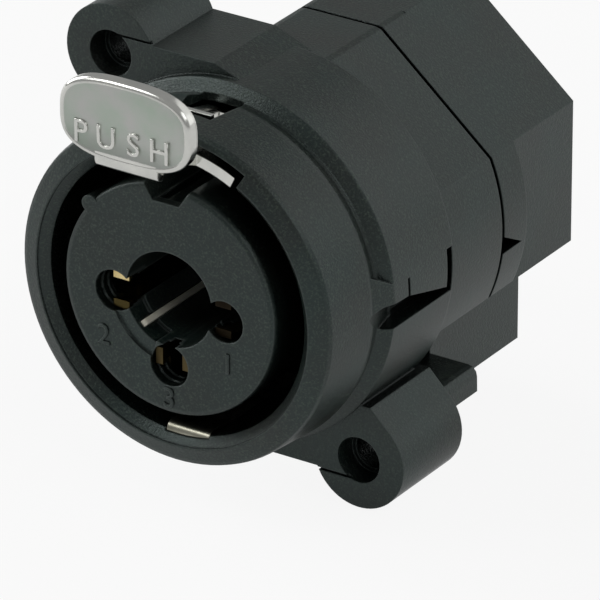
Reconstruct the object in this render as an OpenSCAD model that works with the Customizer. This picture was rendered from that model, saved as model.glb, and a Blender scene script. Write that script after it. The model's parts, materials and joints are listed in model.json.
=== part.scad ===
// Rear-mounted panel socket that takes a three-pin circular plug or a
// 6.35 mm jack plug. The plug axis is the Y axis: the mating face looks along
// -Y, the housing reaches back along +Y, and the latch is on top.

/* [Bezel] */
// Outer radius of the bezel at its front edge
bezel_r = 11.75; // [11.4:0.05:11.95]
// Radius of the bezel where it runs into the groove
bezel_back_r = 12.05; // [11.8:0.05:12.2]
// Length of the bezel in front of the groove
bezel_len = 5.2; // [4.6:0.1:5.6]
// Radius of the bore that takes the plug shell
bore_r = 9.7; // [9.55:0.05:9.8]
// Radius at the open end of the lead-in chamfer
lip_r = 10.3; // [10.1:0.05:10.4]

/* [Housing] */
// Radius of the shell behind the bezel
shell_r = 12.55; // [12.4:0.05:12.8]
// Distance from the front to the locating shoulder
shoulder_y = 6.85; // [6.5:0.05:7.2]
// Distance from the front to where the flats start
flats_y = 13.8; // [13.5:0.1:14.4]
// Distance of the slanting flats from the plug axis
flat_dist = 11.22; // [11:0.02:11.5]
// Angle of the slanting flats' normals above the horizontal
flat_angle = 49.5; // [45:0.5:52]
// Height of the flat top and bottom above the axis
top_z = 12.2; // [11.9:0.1:12.3]

/* [Ears] */
// Distance between the screw holes across
ear_dx = 19; // [18:0.5:20]
// Distance between the screw holes in height
ear_dz = 24; // [23:0.5:25]
// Radius of the round boss of an ear
boss_r = 3.4; // [3:0.1:3.6]
// Distance from the front to the mounting plane
mount_y = 7.4; // [7.2:0.1:7.8]
// Length of a boss
boss_len = 7.1; // [6:0.1:7.5]
// Radius of the countersunk mouth of a screw hole
mouth_r = 1.6; // [1.5:0.05:1.8]
// Radius of the pilot hole for the screw
pilot_r = 1.25; // [1.1:0.05:1.4]

/* [Insert] */
// Radius of the contact insert
insert_r = 8.05; // [7.9:0.05:8.15]
// How far the insert stands proud of the bezel
insert_proud = 0.2; // [0:0.05:0.5]
// Length of the part of the insert that the plug shell slides over
insert_len = 15; // [14.5:0.1:15.5]
// Thickness of the insert's flange
flange_t = 2.5; // [2.3:0.1:3]
// Radius of the bore for the jack plug
jack_r = 3.3; // [3.25:0.01:3.4]
// Radius of a pin hole
pin_hole_r = 1.45; // [1.35:0.05:1.5]
// Half the distance between the two upper pin holes
pin_x = 4.2; // [4.1:0.05:4.3]
// How far the two upper pin holes lie below the axis
pin_drop = 0.45; // [0.3:0.05:0.6]
// How far the lower pin hole lies below the axis
pin_low = 4.65; // [4.5:0.05:4.75]

/* [Rear cover] */
// Length of the cover's spigot inside the housing
spigot_len = 2.65; // [2.2:0.05:3.2]
// Gap that shows as a seam between housing and cover
seam = 0.3; // [0.2:0.05:0.4]
// Length of the round band at the front of the cover
band_len = 2.75; // [2:0.05:3.5]
// Radius of the round band
band_r = 12.5; // [12.2:0.05:12.5]
// Half the width of the box behind the band
cover_half_w = 11.35; // [11.2:0.05:11.5]
// Length of the cover behind the seam
cover_len = 10.25; // [10:0.05:12]
// Wall of the cover
cover_wall = 1.25; // [1:0.05:1.4]
// Half the width of the terminal skirt under the cover
skirt_half_w = 8; // [7.6:0.1:8.4]
// How far the skirt's lower edge lies below the axis
skirt_low = 12.65; // [12.4:0.05:13.5]

/* [Latch] */
// Inner radius of the arched latch plate
latch_in_r = 9.82; // [9.8:0.01:9.9]
// Thickness of the latch sheet
latch_t = 0.78; // [0.6:0.02:0.8]
// Half the angle that the arched plate covers
latch_angle = 26.3; // [22:0.1:27]
// Half the width of the push tab
tab_a = 4.9; // [4.5:0.1:5.5]
// Half the height of the push tab
tab_b = 2.8; // [2.7:0.05:3.2]
// Height of the middle of the push tab
tab_z = 13.95; // [13.7:0.05:15]
// How far the face of the tab stands in front of the bezel
tab_front = 4.9; // [4.5:0.1:5.5]
// Thickness of the tab over its rounded rim
tab_depth = 0.85; // [0.8:0.05:1]
// Half the width of the neck under the tab
neck_half_w = 1.85; // [1.6:0.05:2.2]
// Distance from the hinge axis to the insert's flange
hinge_gap = 3; // [2.9:0.05:3.4]
// Height of the hinge axis above the plate's inner face
hinge_rise = 0.73; // [0.7:0.01:0.78]
// Radius of the hinge pin
hinge_pin_r = 0.4; // [0.3:0.05:0.45]

/* [Contacts] */
// Thickness of the contact strip
strip_t = 0.25; // [0.2:0.01:0.3]
// Width of a solder tail
tail_w = 0.8; // [0.6:0.05:0.9]
// How far the solder tails reach below the skirt
tail_out = 3; // [2.5:0.1:3.2]

/* [Hidden] */
$fn = 96;
// Clearance of a contact in its slot, and of pieces that slide together
fit = 0.05;
// Extra reach of a cut past the face that it opens
past = 1;
groove_r = 11.75;
groove_y0 = bezel_len + 0.7;
groove_y1 = groove_y0 + 0.3;
face_slope_y = 0.45;
ring_line_r = 10.45;
lip_y = 0.2;
lip_depth = 0.5;
flange_r = 10.5;
flange_end = insert_len + flange_t;
recess_r = flange_r + 0.1;
boss_end = mount_y + boss_len;
spigot_in_r = 9.7;
cover_y = flange_end + spigot_len;
housing_len = cover_y - seam;
cover_end = cover_y + cover_len;
hinge_y = insert_len - hinge_gap;
hinge_z = latch_in_r + hinge_rise;
band_end = cover_y + band_len;
skirt_y0 = cover_y - 1.85;
skirt_y1 = cover_end - 1.1;
skirt_wall = 1.2;
housing_cut_y = skirt_y0 - 0.15;
chamber_half = 1.5;
chamber_y = 1.45;
chamber_end = insert_len - 1.5;
clip_y = 0.2;
clip_lip = 0.3;
clip_end = chamber_end - 0.9;
clip_out = 1.4;
clip_side = 1.05;
shank_half_w = 0.6;
tail_z = -skirt_low - tail_out;
leg_xlr_y = cover_y + 0.4;
leg_low_y = skirt_y0 + skirt_wall + 0.25;
blade_angle = 227;
blade_t = 0.42;
blade_in_r = jack_r + 0.02;
blade_out_r = 3.9;
sleeve_leg_x = -3;
sleeve_leg_y = cover_y + 2.15;
leaf_y = cover_y + 1.65;
leaf_half_w = 0.8;
leaf_len = 6.3;
carrier_half_w = 6.8;
carrier_low = -6.8;
carrier_top = 5.8;
carrier_end = cover_end - cover_wall;
pin_slot_x = pin_x + 1.55;
guide_t = 1.25;
latch_out_r = latch_in_r + latch_t;
latch_front = 0.35;
latch_back = hinge_y - 1.8;
slot_ceiling_r = latch_out_r + 0.65;
slot_angle = latch_angle + 2.7;
knuckle_r = 0.8;
knuckle_in = 1.2;
knuckle_out = 3.6;
pin_seat = 1.2;
spring_wire_r = 0.14;
spring_coil_r = hinge_pin_r + spring_wire_r + 0.12;
spring_turns = 5;
spring_pitch = 0.27;
earth_x0 = -0.8;
earth_x1 = 2.4;
earth_roll_r = 0.65;
earth_roll_y = 1.3;
earth_top_z = -9.2;
earth_floor_z = -10.9;
earth_low_z = earth_floor_z + strip_t;
earth_exit_z = earth_floor_z + 0.8;
earth_rail_x0 = earth_x1 - 1.2;
earth_leg_y = cover_y + 0.75;
slot_y0 = shoulder_y + 1.6;

// A turned body about the plug axis, from a profile of radius and depth
module lathe(angle = 360) rotate([-90, 0, 0]) rotate_extrude(angle = angle) children();

// A section in width and height, drawn out from depth y0 to depth y1
module prism(y0, y1) translate([0, y1, 0]) rotate([90, 0, 0]) linear_extrude(y1 - y0) children();

// A profile in depth and height, drawn out from x0 to x1
module rib(x0, x1) translate([x0, 0, 0]) rotate([90, 0, 90]) linear_extrude(x1 - x0) children();

// A box from its lowest to its highest corner, grown by g all round
module block(a, b, g = 0)
    translate([a[0] - g, a[1] - g, a[2] - g])
        cube([b[0] - a[0] + 2 * g, b[1] - a[1] + 2 * g, b[2] - a[2] + 2 * g]);

// The same shape turned half round the plug axis as well
module both_sides() {
    children();
    rotate([0, 180, 0]) children();
}

// A sector of a tube over the top of the bore
module arch(r0, r1, half_angle, y0, y1)
    rotate([0, -90 - half_angle, 0]) lathe(2 * half_angle)
        translate([r0, y0]) square([r1 - r0, y1 - y0]);

// A bent strip of even thickness through a list of points
module strip(points, t)
    for (i = [0 : len(points) - 2]) {
        d = points[i + 1] - points[i];
        translate(points[i]) rotate(atan2(d[1], d[0])) translate([0, -t / 2]) square([norm(d), t]);
        translate(points[i + 1]) circle(d = t, $fn = 24);
    }

// Half the width of the slanting flats' section at a height
function flat_x(z) = (flat_dist - z * sin(flat_angle)) / cos(flat_angle);

// Height of a slanting flat at a distance from the middle
function flat_z(x) = (flat_dist - x * cos(flat_angle)) / sin(flat_angle);

// Eight-sided outline with upright sides, slanting flats and a flat top
module flats_outline(half_w, inset = 0) {
    shrink = inset / cos(flat_angle);
    w = half_w - inset;
    h = top_z - inset;
    xh = flat_x(h) - shrink;
    zw = flat_z(w) - inset / sin(flat_angle);
    polygon([[w, zw], [xh, h], [-xh, h], [-w, zw], [-w, -zw], [-xh, -h], [xh, -h], [w, -zw]]);
}

// Points of an oval that is a little squarer than an ellipse
function bulge(v) = sign(v) * pow(abs(v), 0.7);
function oval(a, b, n = 72) = [for (i = [0 : n - 1]) [a * bulge(cos(i * 360 / n)), b * bulge(sin(i * 360 / n))]];

// Outer form of the bezel, its groove and the round shell
module bezel_form() lathe() polygon([
    [0, 0.05], [ring_line_r, 0.05], [bezel_r - 0.35, face_slope_y - 0.05],
    [bezel_r - 0.1, face_slope_y + 0.08], [bezel_r, face_slope_y + 0.35],
    [bezel_back_r, bezel_len - 0.4], [bezel_back_r - 0.05, bezel_len], [groove_r + 0.1, groove_y0 - 0.3],
    [groove_r, groove_y0], [groove_r, groove_y1],
    [shell_r - 0.1, shoulder_y - 0.1], [shell_r, shoulder_y],
    [shell_r, flats_y], [0, flats_y]]);

// Section of one ear: a round boss with a thick web to the shell
module ear_section() {
    cx = ear_dx / 2;
    cz = -ear_dz / 2;
    tangent = boss_r * cos(45);
    web_low = cz - 1.26;
    translate([cx, cz]) circle(r = boss_r);
    polygon([[cx, cz], [cx + tangent, cz + tangent], [cx + tangent - 1.55, cz + tangent + 1.55],
        [0, cz + 4], [-1.2, -shell_r + 0.3], [1.5, web_low], [cx, web_low]]);
}

module ear() {
    cx = ear_dx / 2;
    cz = -ear_dz / 2;
    prism(mount_y, boss_end) ear_section();
}

// Mouth, pilot and fine step line of one ear's screw hole
module ear_hole() {
    cx = ear_dx / 2;
    cz = -ear_dz / 2;
    translate([cx, 0, cz]) rotate([-90, 0, 0]) {
        translate([0, 0, mount_y - past]) cylinder(h = past + 1.7, r = mouth_r);
        translate([0, 0, mount_y]) cylinder(h = boss_len + past, r = pilot_r);
    }
    block([cx - boss_r - past, mount_y - past, cz - 1.5], [cx - 0.3, mount_y + 0.25, cz - 1.33]);
}

// Ramp that bridges the groove in front of the spring tongue
module side_pad() intersection() {
    rib(bore_r + 1.3, shell_r + past)
        polygon([[bezel_len - 0.6, 2.75], [shoulder_y - 0.2, 1.62], [slot_y0, 1.62], [slot_y0, 0.1],
            [bezel_len - 0.6, -0.1]]);
    lathe() polygon([[0, bezel_len - 0.6], [bezel_back_r - 0.15, bezel_len - 0.6],
        [shell_r - 0.02, shoulder_y - 0.1], [shell_r - 0.02, slot_y0 + 0.15], [0, slot_y0 + 0.15]]);
}

// Foot behind a boss, with a rounded shoulder
module foot() {
    x = band_r - 0.7;
    prism(flats_y, housing_cut_y - 0.05)
        polygon([[5, -10.9], [5, -9.13], [x - 0.7, -9.13], [x - 0.35, -9.22], [x - 0.1, -9.5],
            [x - 0.02, -9.85], [x, -10.9]]);
}

// Slots, window and hollow that free the spring tongue in the shell's side
module tongue_cuts() {
    slot_y1 = 13.1;
    slot_end = flats_y;
    low = -1.62;
    floor_x = bore_r + 1.5;
    rib(floor_x, floor_x + 3) {
        polygon([[slot_y0, 0.05], [slot_y0 + 0.26, 0.05], [slot_y0 + 0.26, 1.3], [slot_y0, 1.3]]);
        polygon([[slot_y1, -1.2], [slot_end, -1.2], [slot_end, 1.5], [slot_y1, 1.5]]);
    }
    intersection() {
        rib(floor_x - 0.1, floor_x + 3)
            polygon([[slot_y0, 0.1], [slot_y1, -1.15], [slot_end, -1.15], [slot_end, low],
                [groove_y0 + 0.5, low], [bezel_len, -0.9], [bezel_len - 0.7, -0.2], [groove_y0, 0.22]]);
        translate([0, 0, low - past]) linear_extrude(4)
            polygon([[floor_x, slot_y0 - 0.4], [floor_x, slot_end], [floor_x + 3, slot_end],
                [floor_x + 3, bezel_len - 0.9], [bezel_back_r, bezel_len - 0.7]]);
    }
    block([floor_x - 0.5, slot_y0, low], [floor_x + 0.2, slot_end, 1.5]);
}

// Room for the latch: arched slot, hinge pocket, pin hole and window
module latch_room() {
    arch(bore_r - 0.5, slot_ceiling_r, slot_angle, -past, latch_back + 0.6);
    block([-knuckle_out - 0.2, latch_back - 0.4, bore_r - 0.5],
        [knuckle_out + 0.2, hinge_y + knuckle_r + 0.3, hinge_z + knuckle_r + 0.15]);
    translate([-shell_r, hinge_y, hinge_z]) rotate([0, 90, 0])
        cylinder(h = shell_r + knuckle_out + 0.2 + pin_seat, r = hinge_pin_r + 0.02, $fn = 32);
    translate([0, 0, latch_out_r]) linear_extrude(4)
        polygon([[-1.35, 2.65], [1.35, 2.65], [1.9, bezel_len - 0.2], [1.55, groove_y0 + 0.35],
            [-1.55, groove_y0 + 0.35], [-1.9, bezel_len - 0.2]]);
}

// Channel for the earth spring along the bottom of the bore
module earth_channel() {
    block([earth_x0 - 0.1, 0.6, earth_floor_z], [earth_x1 + 0.1, insert_len + past, -bore_r + 1]);
}

module front_housing() color("#3b3f3e") difference() {
    union() {
        bezel_form();
        prism(flats_y - 0.01, housing_len) intersection() {
            circle(r = shell_r - 0.06);
            flats_outline(shell_r + 1);
        }
        both_sides() {
            ear();
            side_pad();
            foot();
        }
    }
    lathe() polygon([[0, -past], [ring_line_r - 0.1, -past], [ring_line_r - 0.1, lip_y], [lip_r, lip_y],
        [bore_r, lip_y + lip_depth], [bore_r, insert_len], [recess_r, insert_len],
        [recess_r, housing_len + past], [0, housing_len + past]]);
    both_sides() {
        ear_hole();
        tongue_cuts();
    }
    latch_room();
    earth_channel();
    block([-skirt_half_w - 0.1, housing_cut_y, -20], [skirt_half_w + 0.1, housing_len + past, -7.6]);
}

// Trapezoid keyway along the top of the insert
module keyway() {
    low = insert_r - 1.35;
    prism(-past, insert_len) polygon([[-1.2, low], [0.8, low], [2, insert_r + 0.45], [-2.4, insert_r + 0.45]]);
    prism(0.5, insert_len) polygon([[-1, low - 0.5], [0.6, low - 0.5], [0.75, low + 0.1], [-1.15, low + 0.1]]);
}

// Places of the three pin holes, with the way out from the axis
function pin_place(n) = n == 1 ? [pin_x, -pin_drop] : n == 2 ? [-pin_x, -pin_drop] : [0, -pin_low];
function pin_turn(n) = n == 1 ? 0 : n == 2 ? 180 : -90;

// Puts a shape drawn with its way out along +X at one of the pin holes
module at_pin(n) translate([pin_place(n)[0], 0, pin_place(n)[1]]) rotate([0, -pin_turn(n), 0]) children();

// Pin hole that narrows in two fine steps
module pin_hole() rotate([-90, 0, 0]) {
    translate([0, 0, -past]) cylinder(h = past + 0.55, r = pin_hole_r);
    translate([0, 0, 0.5]) cylinder(h = 0.6, r = pin_hole_r - 0.07);
    translate([0, 0, 1]) cylinder(h = chamber_end - 1, r = pin_hole_r - 0.14);
}

// Shallow crescent in the face and the hollow that lets the blade give way
module blade_recess() rotate([0, -blade_angle - 26, 0]) {
    lathe(52) translate([jack_r - 0.4, -past]) square([1.65, past]);
    lathe(52) translate([jack_r - 0.4, -past / 2]) square([0.65, past / 2 + 1.6]);
}

module contact_insert() color("#3b3f3e") difference() {
    union() {
        lathe() polygon([[0, -insert_proud], [insert_r - 0.35, -insert_proud],
            [insert_r - 0.1, -insert_proud + 0.1], [insert_r, -insert_proud + 0.35],
            [insert_r, insert_len], [flange_r, insert_len], [flange_r, flange_end], [0, flange_end]]);
        translate([-6.02, 0, 5.2]) rotate([-90, 0, 0])
            translate([0, 0, -insert_proud]) cylinder(h = insert_len, r = 0.6, $fn = 32);
    }
    rotate([-90, 0, 0]) translate([0, 0, -past]) cylinder(h = flange_end + 2 * past, r = jack_r);
    for (n = [1 : 3]) {
        at_pin(n) pin_hole();
        at_pin(n) block([-0.6, chamber_y, -chamber_half], [clip_out + strip_t + 0.1, chamber_end, chamber_half]);
    }
    keyway();
    pin_contact_form(1, fit);
    pin_contact_form(2, fit);
    pin_contact_form(3, fit);
    sleeve_form(fit);
    blade_recess();
    block([earth_rail_x0 - 0.1, insert_len - past, -flange_r - 1], [earth_x1 + 0.1, flange_end + past, -9]);
}

// Clip that grips a pin, with lips on its two tines: drawn with the way out along +X
module clip_form(g) {
    side = clip_side + strip_t;
    block([clip_out, clip_y + 4.5, -side], [clip_out + strip_t, clip_end, side], g);
    for (s = [-1, 1]) translate([0, 0, s * (side - strip_t / 2)]) {
        block([-0.5, chamber_y + fit, -strip_t / 2], [clip_out + strip_t, clip_end, strip_t / 2], g);
        block([-0.9, clip_y, -strip_t / 2], [0.3, chamber_y + 0.4, strip_t / 2], g);
        translate([0, 0, -s * clip_lip / 2])
            block([-0.9, clip_y, -(strip_t + clip_lip) / 2], [0.3, clip_y + 0.35, (strip_t + clip_lip) / 2], g);
    }
}

// One of the three plug-pin contacts: clip, shank, leg and solder tail
module pin_contact_form(n, g = 0) {
    leg_y = n == 3 ? leg_low_y : leg_xlr_y;
    at_pin(n) {
        clip_form(g);
        block([clip_out, clip_end - 1, -shank_half_w], [clip_out + strip_t, leg_y + strip_t, shank_half_w], g);
    }
    out = clip_out + strip_t;
    x = n == 3 ? 0 : (n == 1 ? 1 : -1) * (pin_x + out - shank_half_w);
    top = n == 3 ? -pin_low - clip_out : -pin_drop + shank_half_w;
    block([x - shank_half_w, leg_y, -skirt_low + guide_t], [x + shank_half_w, leg_y + strip_t, top], g);
    block([x - tail_w / 2, leg_y, tail_z], [x + tail_w / 2, leg_y + strip_t, -skirt_low + guide_t + 0.1], g);
}

// Blade that touches the jack plug's sleeve, with its leg
module sleeve_form(g = 0) {
    rotate([0, -blade_angle, 0]) {
        block([blade_in_r, 0.7, -blade_t / 2], [blade_out_r, sleeve_leg_y + strip_t - 0.02, blade_t / 2], g);
        translate([blade_in_r + 0.29, 0.7, 0]) cylinder(h = blade_t + 2 * g, r = 0.29 + g, center = true, $fn = 32);
    }
    block([sleeve_leg_x, sleeve_leg_y, tail_z], [sleeve_leg_x + tail_w, sleeve_leg_y + strip_t, -2.6], g);
}

// A leaf spring that bends in plan, on an upright leg
module leaf(points, leg_y, g = 0) {
    translate([0, 0, -leaf_half_w - g]) linear_extrude(2 * (leaf_half_w + g)) strip(points, strip_t + 2 * g);
    x = points[0][0];
    block([x - strip_t / 2, leg_y, tail_z], [x + strip_t / 2, leg_y + tail_w, leaf_half_w], g);
}

// Place on a leaf spring: distance out from the jack bore and share of its length
function on_leaf(out, share) = [jack_r + out, leaf_y + share * leaf_len];
function mirrored(p) = [-p[0], p[1]];
ring_points = [on_leaf(0.8, 0.49), on_leaf(0.6, 0.27), on_leaf(0.18, 0.13), on_leaf(0.6, 0)];
ring_switch_points = [on_leaf(1.8, 0.86), on_leaf(1.6, 0.43), on_leaf(0.9, 0.02)];
tip_points = [for (p = [on_leaf(0.8, 0.43), on_leaf(0.6, 0.7), on_leaf(0.18, 0.86), on_leaf(0.6, 1)]) mirrored(p)];
tip_switch_points = [for (p = [on_leaf(1.8, 0.06), on_leaf(1.6, 0.57), on_leaf(0.9, 0.98)]) mirrored(p)];
ring_leg_y = leaf_y + 0.4 * leaf_len;
ring_switch_leg_y = leaf_y + 0.8 * leaf_len;
tip_leg_y = leaf_y + 0.38 * leaf_len;

module pin_contact_1() color("#c9a24a") pin_contact_form(1);
module pin_contact_2() color("#c9a24a") pin_contact_form(2);
module pin_contact_3() color("#c9a24a") pin_contact_form(3);
module sleeve_contact() color("#c4c6c2") sleeve_form();
module ring_contact() color("#c4c6c2") leaf(ring_points, ring_leg_y);
module ring_switch() color("#c4c6c2") leaf(ring_switch_points, ring_switch_leg_y);
module tip_contact() color("#c4c6c2") leaf(tip_points, tip_leg_y);
module tip_switch() color("#c4c6c2") leaf(tip_switch_points, leaf_y);

// Inner moulding that guides the jack plug and holds its springs
module jack_carrier() color("#3b3f3e") difference() {
    block([-carrier_half_w, flange_end, carrier_low], [carrier_half_w, carrier_end, carrier_top]);
    rotate([-90, 0, 0]) translate([0, 0, flange_end - past])
        cylinder(h = cover_end, r = jack_r);
    for (s = [-1, 1])
        block([s * pin_slot_x - 1.2, flange_end - past, carrier_low - past],
            [s * pin_slot_x + 1.2, cover_y + 1, 0.6]);
    block([-0.8, flange_end - past, carrier_low - past], [0.8, leg_low_y + 0.6, -5.8]);
    block([jack_r - 0.4, leaf_y - 0.3, carrier_low - past],
        [carrier_half_w + past, leaf_y + leaf_len - 0.2, leaf_half_w + 0.3]);
    block([-carrier_half_w - past, leaf_y - 0.3, carrier_low - past],
        [0.4 - jack_r, leaf_y + leaf_len + 0.5, leaf_half_w + 0.3]);
    rotate([0, -blade_angle, 0])
        block([jack_r - 0.4, flange_end - past, -blade_t / 2 - fit],
            [blade_out_r + fit, sleeve_leg_y + 0.4, blade_t / 2 + fit]);
    block([sleeve_leg_x - 0.1, sleeve_leg_y - 0.1, carrier_low - past],
        [sleeve_leg_x + tail_w + 0.1, sleeve_leg_y + strip_t + 0.1, -2.5]);
}

// Outer form of the cover: round band, eight-sided box and terminal skirt
module cover_form() {
    prism(cover_y, band_end) intersection() {
        circle(r = band_r);
        flats_outline(shell_r + 1);
    }
    prism(band_end - 0.01, cover_end) flats_outline(cover_half_w);
    block([-skirt_half_w, skirt_y0, -skirt_low], [skirt_half_w, skirt_y1, -5]);
}

// Triangular notch in the side of the band
module band_notch() translate([11, 0, 0]) rotate([90, 0, 90]) linear_extrude(3)
    polygon([[cover_y - past, -0.2], [cover_y, -0.45], [cover_y + 2.3, -1.65], [cover_y - past, -1.72]]);

module rear_cover() color("#3b3f3e") difference() {
    union() {
        difference() {
            cover_form();
            prism(cover_y - past, carrier_end) intersection() {
                circle(r = band_r - cover_wall);
                flats_outline(cover_half_w, cover_wall);
            }
            block([-20, skirt_y0 - past, -7.7], [20, cover_y, 20]);
        }
        prism(flange_end, cover_y + 0.5) difference() {
            circle(r = flange_r);
            circle(r = spigot_in_r);
            translate([-skirt_half_w, -20]) square([2 * skirt_half_w, 20 - 7.7]);
        }
        prism(cover_y, cover_y + 0.5) difference() {
            intersection() {
                circle(r = band_r - 0.3);
                flats_outline(cover_half_w, 0.3);
            }
            circle(r = spigot_in_r);
        }
    }
    rotate([-90, 0, 0]) translate([0, 0, carrier_end - past]) cylinder(h = 4, r = jack_r);
    block([-skirt_half_w + skirt_wall, skirt_y0 + skirt_wall, -skirt_low - past],
        [skirt_half_w - skirt_wall, skirt_y1 - skirt_wall, -5]);
    block([earth_rail_x0 - 0.1, skirt_y0 - past, -10.35], [earth_x1 + 0.1, skirt_y0 + skirt_wall + past, -7.5]);
    both_sides() band_notch();
}

// Plate that closes the skirt and keeps the solder tails in line
module pin_guide() color("#3b3f3e") difference() {
    block([-skirt_half_w + skirt_wall + fit, skirt_y0 + skirt_wall + fit, -skirt_low],
        [skirt_half_w - skirt_wall - fit, skirt_y1 - skirt_wall - fit, -skirt_low + guide_t]);
    for (n = [1 : 3]) pin_contact_form(n, fit);
    sleeve_form(fit);
    leaf(ring_points, ring_leg_y, fit);
    leaf(ring_switch_points, ring_switch_leg_y, fit);
    leaf(tip_points, tip_leg_y, fit);
    leaf(tip_switch_points, leaf_y, fit);
    earth_leg(fit);
}

// Leg and solder tail of the earth spring
module earth_leg(g = 0)
    block([earth_rail_x0 + 0.2, earth_leg_y, tail_z],
        [earth_rail_x0 + 0.2 + tail_w, earth_leg_y + strip_t, earth_exit_z], g);

// Spring in the floor of the bore that touches the plug's shell
module earth_spring() color("#c8cac8") {
    roll_z = earth_top_z - earth_roll_r;
    rib(earth_x0, earth_x1) {
        difference() {
            translate([earth_roll_y, roll_z]) circle(r = earth_roll_r, $fn = 48);
            translate([earth_roll_y, roll_z]) circle(r = earth_roll_r - strip_t, $fn = 48);
            translate([earth_roll_y, roll_z - earth_roll_r - 0.2]) square([2, earth_roll_r + 0.2]);
        }
        strip([[earth_roll_y, earth_top_z - strip_t / 2], [0.2 * insert_len, earth_top_z - 0.2],
            [0.57 * insert_len, earth_low_z], [insert_len - 2, earth_low_z]], strip_t);
    }
    rib(earth_rail_x0, earth_x1)
        strip([[insert_len - 2.2, earth_low_z], [insert_len - 0.6, earth_exit_z],
            [earth_leg_y + strip_t, earth_exit_z]], strip_t);
    earth_leg();
}

// Push tab: an oval plate with a rounded rim
module push_tab() translate([0, -tab_front, tab_z]) rotate([-90, 0, 0])
    for (s = [[0.3, 0], [0.12, 0.1], [0, 0.3]])
        translate([0, 0, s[1]])
            linear_extrude(tab_depth - s[1] - s[0] / 4) polygon(oval(tab_a - s[0], tab_b - s[0]));

// Neck from the arched plate forward, with a fold up into the tab
module latch_neck() {
    low = tab_z - tab_b - 0.37;
    root_z = latch_in_r - 0.07;
    fold_r = 0.85;
    fold_y = -tab_front + 0.04 + fold_r;
    rib(-neck_half_w, neck_half_w)
        polygon([[1.2, root_z], [1.2, root_z + latch_t], [0.1, root_z + latch_t], [-2.2, low + latch_t],
            [fold_y - 0.05, low + latch_t], [fold_y - 0.05, low], [-2.2, low], [0.1, root_z]]);
    rib(-2.35, 2.35) difference() {
        union() {
            intersection() {
                translate([fold_y, low + fold_r]) circle(r = fold_r, $fn = 48);
                translate([fold_y - fold_r, low]) square([fold_r + 0.03, fold_r]);
            }
            translate([fold_y - fold_r, low + fold_r - 0.05]) square([latch_t - 0.06, 0.6]);
        }
        translate([fold_y, low + fold_r]) circle(r = fold_r - latch_t, $fn = 24);
    }
}

// Knuckle block of the hinge on one side, before its hole is drilled
module knuckle(s) {
    mid = (knuckle_in + knuckle_out) / 2;
    half = (knuckle_out - knuckle_in) / 2;
    translate([s * mid, hinge_y, hinge_z]) rotate([0, 90, 0])
        cylinder(h = 2 * half, r = knuckle_r, center = true, $fn = 48);
    block([s * mid - half + 0.05, latch_back - 0.4, latch_in_r - 0.82], [s * mid + half - 0.05, hinge_y, hinge_z]);
}

module latch_lever() color("#b9bcb8") {
    push_tab();
    latch_neck();
    difference() {
        arch(latch_in_r, latch_out_r, latch_angle, latch_front, latch_back);
        translate([0, 0, latch_in_r - 3]) linear_extrude(latch_t + 6)
            polygon([[-1.5, 3.4], [1.5, 3.4], [1.5, 6.2], [-1.5, 6.2]]);
    }
    rib(-1.3, 1.3)
        polygon([[2.2, latch_in_r + 0.3], [3.3, latch_in_r + 0.3], [3.3, latch_in_r - 1.02], [3, latch_in_r - 1.02]]);
    rib(-1.2, 1.2)
        polygon([[2.88, latch_out_r - 0.4], [3.32, latch_out_r - 0.4], [3.32, latch_out_r + 1.35],
            [2.94, latch_out_r + 1.35]]);
    translate([0, 0, latch_out_r - 0.4]) linear_extrude(1.35)
        polygon([[1, 3.2], [1.16, 3.2], [1.6, 5.7], [1.44, 5.7]]);
    rib(-0.9, -0.35)
        polygon([[6.1, latch_out_r - 0.5], [6.5, latch_out_r - 0.5], [6.4, latch_out_r + 0.05],
            [5.9, latch_out_r + 0.52], [3.8, latch_out_r + 1.05], [3.75, latch_out_r + 0.9],
            [5.7, latch_out_r + 0.36], [6.1, latch_out_r]]);
    difference() {
        for (s = [-1, 1]) knuckle(s);
        translate([-5, hinge_y, hinge_z]) rotate([0, 90, 0])
            cylinder(h = 10, r = hinge_pin_r + fit, $fn = 32);
        rotate([-90, 0, 0]) cylinder(h = hinge_y + 8, r = latch_in_r + 0.04);
    }
}

// Steel pin that the latch turns on
module latch_pin() color("#a9adb0")
    translate([-knuckle_out - 0.2 - pin_seat, hinge_y, hinge_z]) rotate([0, 90, 0])
        cylinder(h = 2 * (knuckle_out + 0.2 + pin_seat) - 0.05, r = hinge_pin_r, $fn = 32);

// Torsion spring round the hinge pin: one leg on the plate, one under the roof
module latch_spring() color("#a9adb0") {
    half = (spring_turns - 1) / 2 * spring_pitch;
    translate([0, hinge_y, hinge_z]) rotate([0, 90, 0]) rotate_extrude($fn = 48)
        for (i = [0 : spring_turns - 1])
            translate([spring_coil_r, i * spring_pitch - half]) circle(r = spring_wire_r, $fn = 24);
    low = latch_out_r + spring_wire_r + 0.02;
    top = hinge_z + spring_coil_r - spring_wire_r;
    translate([-half, hinge_y - 3.4, low]) rotate([-90, 0, 0])
        cylinder(h = 3.4 + 0.03 - spring_coil_r, r = spring_wire_r - 0.02, $fn = 24);
    translate([half, hinge_y - 3.2, top]) rotate([-90, 0, 0])
        cylinder(h = 3.1, r = spring_wire_r - 0.02, $fn = 24);
}

front_housing();
contact_insert();
jack_carrier();
rear_cover();
pin_guide();
latch_lever();
latch_pin();
latch_spring();
pin_contact_1();
pin_contact_2();
pin_contact_3();
sleeve_contact();
ring_contact();
tip_contact();
ring_switch();
tip_switch();
earth_spring();
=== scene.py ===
import bpy, bmesh, json, math
from mathutils import Matrix, Vector

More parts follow.
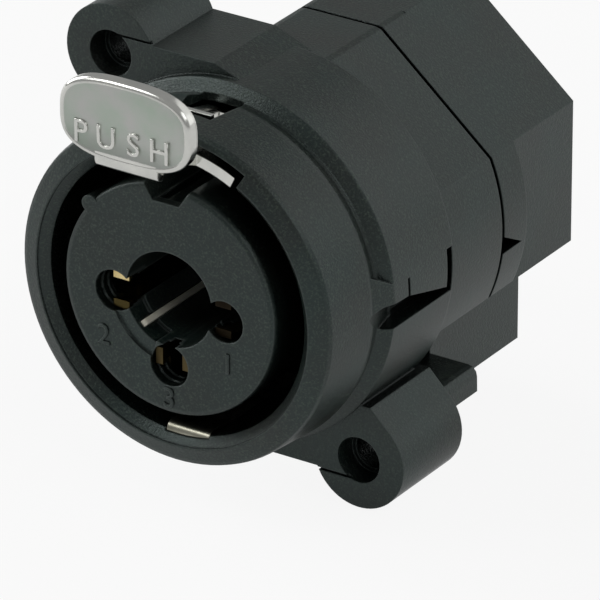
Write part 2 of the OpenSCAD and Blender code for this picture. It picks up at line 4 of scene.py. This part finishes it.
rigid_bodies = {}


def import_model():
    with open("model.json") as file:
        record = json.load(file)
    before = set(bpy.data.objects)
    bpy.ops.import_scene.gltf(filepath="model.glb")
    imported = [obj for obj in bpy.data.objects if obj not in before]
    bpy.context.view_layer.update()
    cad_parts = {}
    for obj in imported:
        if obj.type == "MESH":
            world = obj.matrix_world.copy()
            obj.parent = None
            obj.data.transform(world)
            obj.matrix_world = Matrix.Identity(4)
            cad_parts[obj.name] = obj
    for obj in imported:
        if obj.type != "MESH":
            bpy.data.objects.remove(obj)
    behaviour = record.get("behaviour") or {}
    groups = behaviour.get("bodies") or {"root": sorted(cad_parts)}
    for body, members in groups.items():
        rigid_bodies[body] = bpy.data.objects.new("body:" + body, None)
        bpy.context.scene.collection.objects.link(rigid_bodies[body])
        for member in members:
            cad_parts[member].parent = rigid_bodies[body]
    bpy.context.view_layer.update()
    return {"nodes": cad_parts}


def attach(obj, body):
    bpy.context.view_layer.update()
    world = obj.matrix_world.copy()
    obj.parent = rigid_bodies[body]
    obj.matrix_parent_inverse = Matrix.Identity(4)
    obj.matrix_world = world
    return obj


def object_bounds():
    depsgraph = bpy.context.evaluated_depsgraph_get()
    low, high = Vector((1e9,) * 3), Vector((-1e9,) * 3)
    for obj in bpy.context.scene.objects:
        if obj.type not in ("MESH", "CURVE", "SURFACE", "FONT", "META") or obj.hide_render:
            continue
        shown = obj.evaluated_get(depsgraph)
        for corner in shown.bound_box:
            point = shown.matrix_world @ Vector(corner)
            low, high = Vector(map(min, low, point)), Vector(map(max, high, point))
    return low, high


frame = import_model()
for o in bpy.context.view_layer.objects:
    o.select_set(False)
bpy.context.view_layer.objects.active = None
MM = 0.001
scene = bpy.context.scene
scene.view_settings.view_transform = "Standard"


# Camera: the photograph's three-quarter view from above right. Lengths in mm.
CAMERA_DISTANCE = 500
CAMERA_ASIDE = 8.22
CAMERA_DROP = 0.07
right = Vector((0.8377, 0.5461, 0.0))
up = Vector((-0.2385, 0.3659, 0.8996))
back = Vector((0.4913, -0.7536, 0.4368))
view = bpy.data.cameras.new("photo_camera")
view.sensor_width = 36
view.lens = 472.5
view.clip_start = 0.02
view.clip_end = 10
camera = bpy.data.objects.new("photo_camera", view)
scene.collection.objects.link(camera)
spot = (back * CAMERA_DISTANCE + right * CAMERA_ASIDE - up * CAMERA_DROP) * MM
turn = Matrix((right, up, back)).transposed().to_4x4()
camera.matrix_world = Matrix.Translation(spot) @ turn
scene.camera = camera


# Lamps: name, place in metres, watts, width and height in metres. All point at the shell.
LAMP_AIM = Vector((0, 0.01, 0))
LAMPS = (
    ("key_softbox", (-0.26, -0.24, 0.34), 0.46, 0.20, 0.20),
    ("left_panel", (-0.48, 0.05, 0.20), 1.40, 0.30, 0.30),
    ("back_panel", (0.24, 0.44, 0.24), 0.46, 0.55, 0.50),
    ("right_panel", (0.44, 0.30, 0.15), 0.10, 0.30, 0.30),
    ("side_softbox", (0.40, 0.04, 0.36), 0.32, 0.20, 0.24),
    ("right_fill", (0.36, -0.20, 0.30), 0.20, 0.20, 0.20),
)
for name, place, power, width, height in LAMPS:
    light = bpy.data.lights.new(name, "AREA")
    light.shape = "RECTANGLE"
    light.size, light.size_y = width, height
    light.energy = power
    o = bpy.data.objects.new(name, light)
    scene.collection.objects.link(o)
    o.location = place
    o.rotation_euler = (LAMP_AIM - Vector(place)).to_track_quat("-Z", "Y").to_euler()


# Small node helpers.
WHITE = (1, 1, 1, 1)
MIX_FACTOR, MIX_FLOAT_A, MIX_FLOAT_B, MIX_FLOAT_OUT = 0, 2, 3, 0
MIX_COLOUR_A, MIX_COLOUR_B, MIX_COLOUR_OUT = 6, 7, 2


def tree_of(owner):
    owner.use_nodes = True
    owner.node_tree.nodes.clear()
    return owner.node_tree.nodes, owner.node_tree.links


def feed(links, value, socket):
    """Puts another node's output, or a plain value, on an input."""
    if isinstance(value, bpy.types.NodeSocket):
        links.new(value, socket)
    else:
        socket.default_value = value


def calc(nodes, links, kind, a, b):
    n = nodes.new("ShaderNodeMath")
    n.operation = kind
    feed(links, a, n.inputs[0])
    feed(links, b, n.inputs[1])
    return n.outputs[0]


def ramp(nodes, links, value, low_in, high_in, low_out=0.0, high_out=1.0):
    r = nodes.new("ShaderNodeMapRange")
    for i, v in enumerate((value, low_in, high_in, low_out, high_out)):
        feed(links, v, r.inputs[i])
    return r.outputs[0]


def noise(nodes, links, place, scale, detail, rough):
    n = nodes.new("ShaderNodeTexNoise")
    for label, v in (("Vector", place), ("Scale", scale), ("Detail", detail), ("Roughness", rough)):
        feed(links, v, n.inputs[label])
    return n.outputs["Fac"]


def colour_mix(nodes, links, fac, a, b, kind="MIX"):
    m = nodes.new("ShaderNodeMix")
    m.data_type = "RGBA"
    m.blend_type = kind
    feed(links, fac, m.inputs[MIX_FACTOR])
    for i, colour in ((MIX_COLOUR_A, a), (MIX_COLOUR_B, b)):
        feed(links, (*colour, 1) if isinstance(colour, tuple) else colour, m.inputs[i])
    return m.outputs[MIX_COLOUR_OUT]


def mix_shaders(nodes, links, share, a, b):
    m = nodes.new("ShaderNodeMixShader")
    for i, v in enumerate((share, a, b)):
        links.new(v, m.inputs[i])
    return m.outputs[0]


# World: white to the camera, a dim room for the light and the reflections on the black plastic.
ROOM_LIGHT, ROOM_REFLECTED = 0.10, 0.34
world = bpy.data.worlds.new("white_room")
scene.world = world
nodes, links = tree_of(world)
rays = nodes.new("ShaderNodeLightPath")
room = nodes.new("ShaderNodeBackground")
room.inputs["Color"].default_value = WHITE
links.new(ramp(nodes, links, rays.outputs["Is Glossy Ray"], 0.0, 1.0, ROOM_LIGHT, ROOM_REFLECTED),
          room.inputs["Strength"])
white = nodes.new("ShaderNodeBackground")
white.inputs["Color"].default_value = WHITE
white.inputs["Strength"].default_value = 1.0
seen = calc(nodes, links, "MAXIMUM", rays.outputs["Is Camera Ray"], rays.outputs["Is Transmission Ray"])
out = nodes.new("ShaderNodeOutputWorld")
links.new(mix_shaders(nodes, links, seen, room.outputs[0], white.outputs[0]), out.inputs["Surface"])


def floor_paint():
    """Matt white floor that keeps the shadow and glows white to the camera and, less, in reflections."""
    glow_seen, glow_reflected = 0.9, 0.42
    mat = bpy.data.materials.new("white_floor")
    nodes, links = tree_of(mat)
    rays = nodes.new("ShaderNodeLightPath")
    share = calc(nodes, links, "MAXIMUM",
                 calc(nodes, links, "MULTIPLY", rays.outputs["Is Glossy Ray"], glow_reflected),
                 calc(nodes, links, "MULTIPLY", rays.outputs["Is Camera Ray"], glow_seen))
    matt = nodes.new("ShaderNodeBsdfDiffuse")
    matt.inputs["Color"].default_value = (0.9, 0.9, 0.9, 1)
    glow = nodes.new("ShaderNodeEmission")
    glow.inputs["Color"].default_value = WHITE
    glow.inputs["Strength"].default_value = 1.0
    out = nodes.new("ShaderNodeOutputMaterial")
    links.new(mix_shaders(nodes, links, share, matt.outputs[0], glow.outputs[0]), out.inputs["Surface"])
    return mat


# Node groups shared by the finishes. Their lengths are in metres.
def new_group(name, inputs, outputs):
    group = bpy.data.node_groups.new(name, "ShaderNodeTree")
    for label, kind, value in inputs:
        socket = group.interface.new_socket(label, in_out="INPUT", socket_type=kind)
        socket.default_value = value
    for label, kind in outputs:
        group.interface.new_socket(label, in_out="OUTPUT", socket_type=kind)
    return group, group.nodes.new("NodeGroupInput"), group.nodes.new("NodeGroupOutput")


def build_grain():
    """Spark-eroded mould grain, with slow patches where the plastic flowed."""
    group, gin, gout = new_group(
        "mould_grain",
        [("Place", "NodeSocketVector", (0, 0, 0)), ("Grain", "NodeSocketFloat", 6400.0),
         ("Patch", "NodeSocketFloat", 170.0)],
        [("Height", "NodeSocketFloat"), ("Patch", "NodeSocketFloat"), ("Speck", "NodeSocketFloat")])
    nodes, links = group.nodes, group.links
    fine = noise(nodes, links, gin.outputs["Place"], gin.outputs["Grain"], 3.0, 0.6)
    slow = noise(nodes, links, gin.outputs["Place"], gin.outputs["Patch"], 3.0, 0.55)
    links.new(fine, gout.inputs["Height"])
    links.new(ramp(nodes, links, slow, 0.32, 0.68), gout.inputs["Patch"])
    links.new(ramp(nodes, links, fine, 0.5, 0.72), gout.inputs["Speck"])
    return group


def build_drawn():
    """Fine drawing lines and handling marks of sheet and strip."""
    group, gin, gout = new_group(
        "drawn_strip",
        [("Place", "NodeSocketVector", (0, 0, 0)), ("Along", "NodeSocketVector", (1, 1, 1)),
         ("Fine", "NodeSocketFloat", 3000.0)],
        [("Height", "NodeSocketFloat"), ("Smudge", "NodeSocketFloat")])
    nodes, links = group.nodes, group.links
    stretch = nodes.new("ShaderNodeVectorMath")
    stretch.operation = "MULTIPLY"
    links.new(gin.outputs["Place"], stretch.inputs[0])
    links.new(gin.outputs["Along"], stretch.inputs[1])
    lines = noise(nodes, links, stretch.outputs[0], gin.outputs["Fine"], 2.0, 0.5)
    smudge = noise(nodes, links, gin.outputs["Place"], 420.0, 3.0, 0.6)
    links.new(lines, gout.inputs["Height"])
    links.new(ramp(nodes, links, smudge, 0.35, 0.7), gout.inputs["Smudge"])
    return group


def build_edge():
    """The small radius of every edge, as a normal that catches light, and a mask of the edges, where a paler
    colour is painted on as highlight.
    """
    group, gin, gout = new_group(
        "edge_round_and_painted_highlight",
        [("Radius", "NodeSocketFloat", 0.14 * MM)],
        [("Normal", "NodeSocketVector"), ("PaintedHighlight", "NodeSocketFloat")])
    nodes, links = group.nodes, group.links
    edge = nodes.new("ShaderNodeBevel")
    edge.samples = 4
    links.new(gin.outputs["Radius"], edge.inputs["Radius"])
    level = nodes.new("ShaderNodeVectorMath")
    level.operation = "DOT_PRODUCT"
    links.new(edge.outputs[0], level.inputs[0])
    links.new(nodes.new("ShaderNodeNewGeometry").outputs["True Normal"], level.inputs[1])
    links.new(edge.outputs[0], gout.inputs["Normal"])
    links.new(ramp(nodes, links, level.outputs["Value"], 0.99, 0.8), gout.inputs["PaintedHighlight"])
    return group


def build_hollow_shade_mask():
    """Mask that is 0 inside holes, slots and grooves, and 1 on the open faces; it places the painted shade
    of the plastics.
    """
    group, gin, gout = new_group(
        "hollow_mask_for_painted_shade",
        [("Reach", "NodeSocketFloat", 2.5 * MM)],
        [("Open", "NodeSocketFloat")])
    nodes, links = group.nodes, group.links
    hollow = nodes.new("ShaderNodeAmbientOcclusion")
    hollow.samples = 6
    links.new(gin.outputs["Reach"], hollow.inputs["Distance"])
    links.new(ramp(nodes, links, hollow.outputs["AO"], 0.45, 0.88), gout.inputs["Open"])
    return group


GRAIN = build_grain()
DRAWN = build_drawn()
EDGE = build_edge()
HOLLOW_SHADE_MASK = build_hollow_shade_mask()


def use(nodes, links, group, **values):
    n = nodes.new("ShaderNodeGroup")
    n.node_tree = group
    for label, value in values.items():
        feed(links, value, n.inputs[label])
    return n.outputs


def start_finish(name):
    """A new material with its shader, and the place on the piece that its patterns read."""
    mat = bpy.data.materials.new(name)
    nodes, links = tree_of(mat)
    shader = nodes.new("ShaderNodeBsdfPrincipled")
    out = nodes.new("ShaderNodeOutputMaterial")
    links.new(shader.outputs[0], out.inputs["Surface"])
    return mat, nodes, links, shader, nodes.new("ShaderNodeTexCoord").outputs["Object"]


def relief(nodes, links, shader, height, depth, distance, normal):
    """Fine surface relief, on top of the soft edges' normal."""
    bump = nodes.new("ShaderNodeBump")
    bump.inputs["Strength"].default_value = depth
    bump.inputs["Distance"].default_value = distance
    links.new(height, bump.inputs["Height"])
    links.new(normal, bump.inputs["Normal"])
    links.new(bump.outputs[0], shader.inputs["Normal"])


GRAIN_RELIEF = 0.03 * MM
PATCH_SCALE = 170.0
SPECK_COLOUR = (0.045, 0.060, 0.044)
# Painted shade: the near-black colour, with low roughness, put into holes, slots and grooves where the
# ambient occlusion mask finds them.
PAINTED_HOLLOW_SHADE = (0.0015, 0.002, 0.0018)
HOLLOW_ROUGHNESS = 0.12
HOLLOW_REACH = 2.5 * MM
# Painted highlight: the paler colour put on every edge of the plastics.
PAINTED_EDGE_HIGHLIGHT = (0.05, 0.062, 0.058)
SHEEN_TINT = (0.84, 1.0, 0.965, 1)


def moulded_plastic(name, deep, pale, shine, grain, depth, edge=0.14, edge_highlight=PAINTED_EDGE_HIGHLIGHT, level=0.5):
    """Black thermoplastic: fine grain, slow patches, a paler colour painted on every edge as highlight, and
    painted shade with lower roughness in the hollows.
    """
    mat, nodes, links, shader, place = start_finish(name)
    surface = use(nodes, links, GRAIN, Place=place, Grain=grain, Patch=PATCH_SCALE)
    edges = use(nodes, links, EDGE, Radius=edge * MM)
    clear = use(nodes, links, HOLLOW_SHADE_MASK, Reach=HOLLOW_REACH)["Open"]
    relief(nodes, links, shader, surface["Height"], depth, GRAIN_RELIEF, edges["Normal"])
    tone = colour_mix(nodes, links, surface["Patch"], deep, pale)
    tone = colour_mix(nodes, links, surface["Speck"], tone, SPECK_COLOUR, "ADD")
    # Painted highlight: a paler colour along every edge.
    tone = colour_mix(nodes, links, edges["PaintedHighlight"], tone, edge_highlight)
    # Painted shade: the colour goes near black in holes, slots and grooves.
    tone = colour_mix(nodes, links, clear, PAINTED_HOLLOW_SHADE, tone)
    links.new(tone, shader.inputs["Base Color"])
    polish = nodes.new("ShaderNodeMix")
    polish.data_type = "FLOAT"
    polish.inputs[MIX_FLOAT_A].default_value = HOLLOW_ROUGHNESS
    links.new(clear, polish.inputs[MIX_FACTOR])
    links.new(ramp(nodes, links, surface["Speck"], 0.0, 1.0, *shine), polish.inputs[MIX_FLOAT_B])
    links.new(polish.outputs[MIX_FLOAT_OUT], shader.inputs["Roughness"])
    shader.inputs["Specular Tint"].default_value = SHEEN_TINT
    shader.inputs["IOR"].default_value = 1.5
    shader.inputs["Specular IOR Level"].default_value = level
    return mat


DRAWN_RELIEF = 0.01 * MM
STRIP_EDGE = 0.07 * MM


def strip_metal(name, bright, dull, shine, along=(1, 0.2, 1), fine=3000.0, depth=0.15, shade_below=None,
                metallic=1.0):
    """Metal strip with drawing lines and smudges, with painted shade below a height in mm where one is
    given.
    """
    mat, nodes, links, shader, place = start_finish(name)
    surface = use(nodes, links, DRAWN, Place=place, Along=along, Fine=fine)
    edges = use(nodes, links, EDGE, Radius=STRIP_EDGE)
    relief(nodes, links, shader, surface["Height"], depth, DRAWN_RELIEF, edges["Normal"])
    tone = colour_mix(nodes, links, surface["Smudge"], bright, dull)
    if shade_below is not None:
        # Painted shade: below the given height the colour falls to about a tenth.
        axes = nodes.new("ShaderNodeSeparateXYZ")
        links.new(place, axes.inputs[0])
        above = ramp(nodes, links, axes.outputs["Z"], (shade_below - 0.35) * MM, (shade_below + 0.25) * MM)
        painted_shade_tone = (dull[0] * 0.1, dull[1] * 0.1, dull[2] * 0.08)
        tone = colour_mix(nodes, links, above, painted_shade_tone, tone)
    links.new(tone, shader.inputs["Base Color"])
    links.new(ramp(nodes, links, surface["Smudge"], 0.0, 1.0, *shine), shader.inputs["Roughness"])
    shader.inputs["Metallic"].default_value = metallic
    return mat


HOUSING = moulded_plastic("housing_plastic_grained", (0.0125, 0.0125, 0.012), (0.011, 0.0195, 0.0185),
                          (0.34, 0.52), grain=6400.0, depth=1.1)
INSERT = moulded_plastic("insert_plastic_fine", (0.009, 0.0095, 0.009), (0.007, 0.0145, 0.014),
                         (0.34, 0.46), grain=6500.0, depth=0.3, edge=0.22, edge_highlight=(0.075, 0.09, 0.085))
CARRIER = moulded_plastic("inner_guide_plastic_matt", (0.004, 0.005, 0.0045), (0.006, 0.008, 0.0075),
                          (0.45, 0.6), grain=6500.0, depth=0.3, edge=0.1, edge_highlight=(0.02, 0.024, 0.022),
                          level=0.15)
PLATE = strip_metal("nickel_plated_latch", (0.72, 0.72, 0.68), (0.60, 0.61, 0.58), (0.14, 0.24),
                    along=(0.25, 1, 1))
SATIN = strip_metal("satin_tab_face", (0.48, 0.485, 0.465), (0.42, 0.49, 0.42), (0.3, 0.42),
                    along=(1, 1, 0.3), fine=2600.0, depth=0.25)
STEEL = strip_metal("bright_spring_steel", (0.42, 0.41, 0.34), (0.24, 0.235, 0.185), (0.24, 0.36),
                    fine=900.0, depth=0.08)
GOLD = strip_metal("gold_plated_contact", (0.80, 0.66, 0.34), (0.60, 0.46, 0.20), (0.2, 0.38),
                   shade_below=-0.45)
# Darker copies of the gold with painted shade, for the contacts that sit in shade in their holes; the deeper
# one is darker still.
GOLD_PAINTED_SHADE = strip_metal("gold_contact_painted_shade", (0.11, 0.085, 0.04), (0.06, 0.045, 0.02),
                          (0.3, 0.45))
GOLD_PAINTED_DEEP_SHADE = strip_metal("gold_contact_painted_deep_shade", (0.022, 0.017, 0.009), (0.014, 0.010, 0.006),
                        (0.4, 0.55))
BLADE = strip_metal("matt_plated_blade", (1.0, 0.98, 0.84), (0.92, 0.89, 0.74), (0.3, 0.45), metallic=0.0)
TIN = strip_metal("tinned_contact_strip", (0.72, 0.72, 0.70), (0.52, 0.52, 0.50), (0.22, 0.4))

FINISH = {
    "front_housing": HOUSING, "rear_cover": HOUSING, "pin_guide": INSERT,
    "contact_insert": INSERT, "jack_carrier": CARRIER,
    "latch_lever": PLATE, "latch_pin": STEEL, "latch_spring": STEEL, "earth_spring": STEEL,
    "pin_contact_1": GOLD_PAINTED_DEEP_SHADE, "pin_contact_2": GOLD, "pin_contact_3": GOLD_PAINTED_SHADE,
    "sleeve_contact": BLADE, "ring_contact": TIN, "tip_contact": TIN, "ring_switch": TIN, "tip_switch": TIN,
}
for name, mat in FINISH.items():
    o = frame["nodes"][name]
    if not o.material_slots:
        o.data.materials.append(mat)
    for slot in o.material_slots:
        slot.material = mat


# Floor, just under the lowest solder tail.
FLOOR_SIZE = 6
FLOOR_GAP = 0.05 * MM
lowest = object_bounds()[0][2]
bpy.ops.mesh.primitive_plane_add(size=FLOOR_SIZE, location=(0, 0, lowest - FLOOR_GAP))
floor = bpy.context.object
floor.name = "floor"
floor.data.materials.append(floor_paint())
floor.select_set(False)


# Helpers for the modelled pieces. Their lengths are in mm.
FONT_SIZE = 1.38        # font size for a letter 1 high
LETTER_BEVEL = 0.3      # bevel for a letter 1 thick
LETTER_THINNING = 0.02  # outline drawn in for a letter 1 high


def set_down():
    for o in bpy.context.selected_objects:
        o.select_set(False)


def pick_up(o):
    set_down()
    o.select_set(True)
    bpy.context.view_layer.objects.active = o


def settle(o, body, mat):
    """Applies the piece's place, gives it its finish and hangs it on its body."""
    pick_up(o)
    bpy.ops.object.transform_apply(location=True, rotation=True, scale=True)
    o.data.materials.clear()
    o.data.materials.append(mat)
    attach(o, body)
    set_down()


def lettering(name, words, height, place, thick, body, mat):
    """Raised characters on a face that looks along -Y."""
    bpy.ops.object.text_add(location=(0, 0, 0))
    o = bpy.context.object
    o.name = name
    o.data.body = words
    o.data.size = height * MM * FONT_SIZE
    o.data.extrude = thick * MM / 2
    o.data.bevel_depth = thick * MM * LETTER_BEVEL
    o.data.bevel_resolution = 2
    o.data.offset = -LETTER_THINNING * height * MM
    o.data.align_x = "CENTER"
    o.data.align_y = "CENTER"
    o.location = Vector(place) * MM
    o.rotation_euler = (math.pi / 2, 0, 0)
    pick_up(o)
    bpy.ops.object.convert(target="MESH")
    settle(bpy.context.object, body, mat)


def select_faces(o, wanted):
    """In edit mode, selects the faces that a test on centre and normal picks."""
    bm = bmesh.from_edit_mesh(o.data)
    for f in bm.faces:
        f.select_set(False)
    for f in bm.faces:
        if wanted(f.calc_center_median() / MM, f.normal):
            f.select_set(True)
    bm.select_flush_mode()
    bmesh.update_edit_mesh(o.data)


def thicken(way):
    """Pulls a flat face into a closed solid, whose faces then point outwards."""
    bpy.ops.mesh.select_all(action="SELECT")
    bpy.ops.mesh.extrude_region_move(TRANSFORM_OT_translate={"value": [c * MM for c in way]})
    bpy.ops.mesh.select_all(action="SELECT")
    bpy.ops.mesh.normals_make_consistent(inside=False)


def soften(width, segments):
    """Bevels the edges round the selected faces."""
    bpy.ops.mesh.bevel(offset=width * MM, segments=segments, profile=0.5, affect="EDGES", clamp_overlap=True)


def smooth_latch_piece(o):
    """Ends the edit, smooths all but the sharp edges, and hangs the piece on the latch."""
    bpy.ops.object.mode_set(mode="OBJECT")
    bpy.ops.object.shade_smooth_by_angle(angle=math.radians(40))
    settle(o, "latch", PLATE)


def tab_fold():
    """Sheet rolled under the tab into the neck."""
    front, low, top, left, width = -4.98, 10.52, 11.8, -2.3, 4.7
    radius, sheet, lip = 0.7, 0.55, 0.15
    roll = [math.radians(90 - 15 * i) for i in range(7)]
    points = [(front, top)]
    points += [(front + radius - radius * math.sin(a), low + radius - radius * math.cos(a)) for a in roll]
    points += [(front + radius + lip, low), (front + radius + lip, low + sheet)]
    points += [(front + sheet, low + radius), (front + sheet, top)]
    bpy.ops.mesh.primitive_circle_add(vertices=len(points), radius=MM, fill_type="NGON", location=(0, 0, 0))
    o = bpy.context.object
    o.name = "tab_fold"
    bpy.ops.object.mode_set(mode="EDIT")
    bm = bmesh.from_edit_mesh(o.data)
    for v, (y, z) in zip(sorted(bm.verts, key=lambda v: v.index), points):
        v.co = Vector((left, y, z)) * MM
    bmesh.update_edit_mesh(o.data)
    thicken((width, 0, 0))
    select_faces(o, lambda c, n: abs(n.x) > 0.9)
    soften(0.1, 2)
    smooth_latch_piece(o)


def push_tab():
    """Stamped oval with a rolled rim and a satin face, over the tab of the latch's own plate."""
    half_width, half_height, squareness = 4.95, 2.86, 0.7
    aside, middle, front, deep = -0.04, 13.98, -5.02, 0.85
    rim, groove, sunk = 0.34, 0.07, 0.05
    bpy.ops.mesh.primitive_circle_add(vertices=96, radius=MM, fill_type="NGON", rotation=(math.pi / 2, 0, 0),
                                      location=(0, 0, 0))
    o = bpy.context.object
    o.name = "push_tab_face"
    bpy.ops.object.transform_apply(location=False, rotation=True, scale=False)
    bpy.ops.object.mode_set(mode="EDIT")
    bm = bmesh.from_edit_mesh(o.data)
    for v in bm.verts:
        x, z = v.co.x / MM, v.co.z / MM
        v.co = Vector((aside + half_width * math.copysign(abs(x) ** squareness, x), front,
                       middle + half_height * math.copysign(abs(z) ** squareness, z))) * MM
    bmesh.update_edit_mesh(o.data)
    thicken((0, deep, 0))
    select_faces(o, lambda c, n: n.y < -0.9)
    soften(rim, 6)
    select_faces(o, lambda c, n: n.y < -0.98 and abs(c.x) < 0.5 and abs(c.z - middle) < 0.5)
    bpy.ops.mesh.inset(thickness=groove * MM, depth=-sunk * MM)
    smooth_latch_piece(o)
    o.data.materials.append(SATIN)
    large = 10 * MM * MM
    for f in o.data.polygons:
        if f.normal.y < -0.999 and f.area > large:
            f.material_index = 1


tab_fold()
push_tab()

# The word on the tab, letter by letter as they are spaced on the real one.
for letter, x in (("P", -3.28), ("U", -1.36), ("S", 0.7), ("H", 2.66)):
    lettering("push_letter_" + letter, letter, 1.62, (x, -4.98, 12.78), 0.16, "latch", PLATE)

# The numbers beside the pin holes.
for words, x, z in (("1", 4.5, -3.4), ("2", -5.0, -3.8), ("3", 0.0, -7.0)):
    lettering("number_" + words, words, 1.45, (x, -0.2, z), 0.16, "socket", INSERT)
